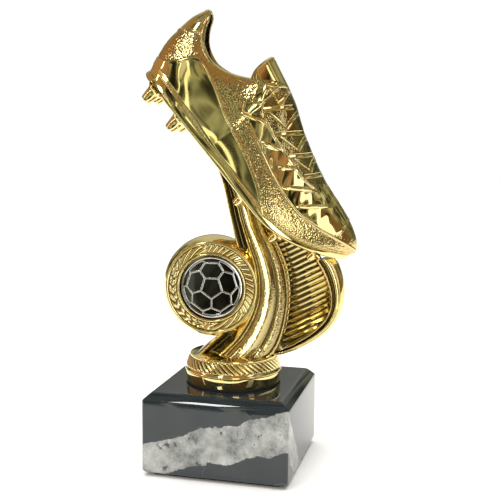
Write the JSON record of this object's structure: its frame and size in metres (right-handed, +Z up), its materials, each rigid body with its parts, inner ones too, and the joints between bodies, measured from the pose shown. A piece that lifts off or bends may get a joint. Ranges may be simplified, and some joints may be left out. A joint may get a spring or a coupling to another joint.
{
  "type": "figure trophy",
  "caption": "Figure trophy: a studded football boot on a curved column with a ball medallion and a ribbed crescent, bolted to a square marble block.",
  "frame": {"origin": "centre of the felt pad's underside, under the middle of the marble block", "axes": "+Z up; -Y is the front, towards the marble's front face; the boot's toe points to +X, with the figure turned 6 degrees about Z from the block"},
  "size_m": [0.0878, 0.06, 0.1867],
  "materials": {
    "gold_plated_plastic": "vacuum-metallised gold, mirror bright, with stippled panels",
    "marble": "polished black marble with white veins",
    "felt": "self-adhesive black felt",
    "black_rubber": "thin soft gasket",
    "steel": "zinc plated",
    "foam_tape": "white foam tape",
    "insert_metal": "black insert with raised silver lines and rim"
  },
  "bodies": {
    "root": {"felt_pad": "felt", "marble_base": "marble", "base_washer": "steel", "base_bolt": "steel", "foot_gasket": "black_rubber", "foot_collar": "gold_plated_plastic", "captive_nut": "steel", "column_front_shell": "gold_plated_plastic", "column_rear_shell": "gold_plated_plastic", "ribbed_web": "gold_plated_plastic", "crescent_rim": "gold_plated_plastic", "medallion_ring_front": "gold_plated_plastic", "medallion_ring_rear": "gold_plated_plastic", "medallion_foam_pad": "foam_tape", "medallion_disc": "insert_metal", "boot_sole_plate": "gold_plated_plastic", "boot_upper": "gold_plated_plastic", "boot_tongue": "gold_plated_plastic"}
  },
  "joints": []
}
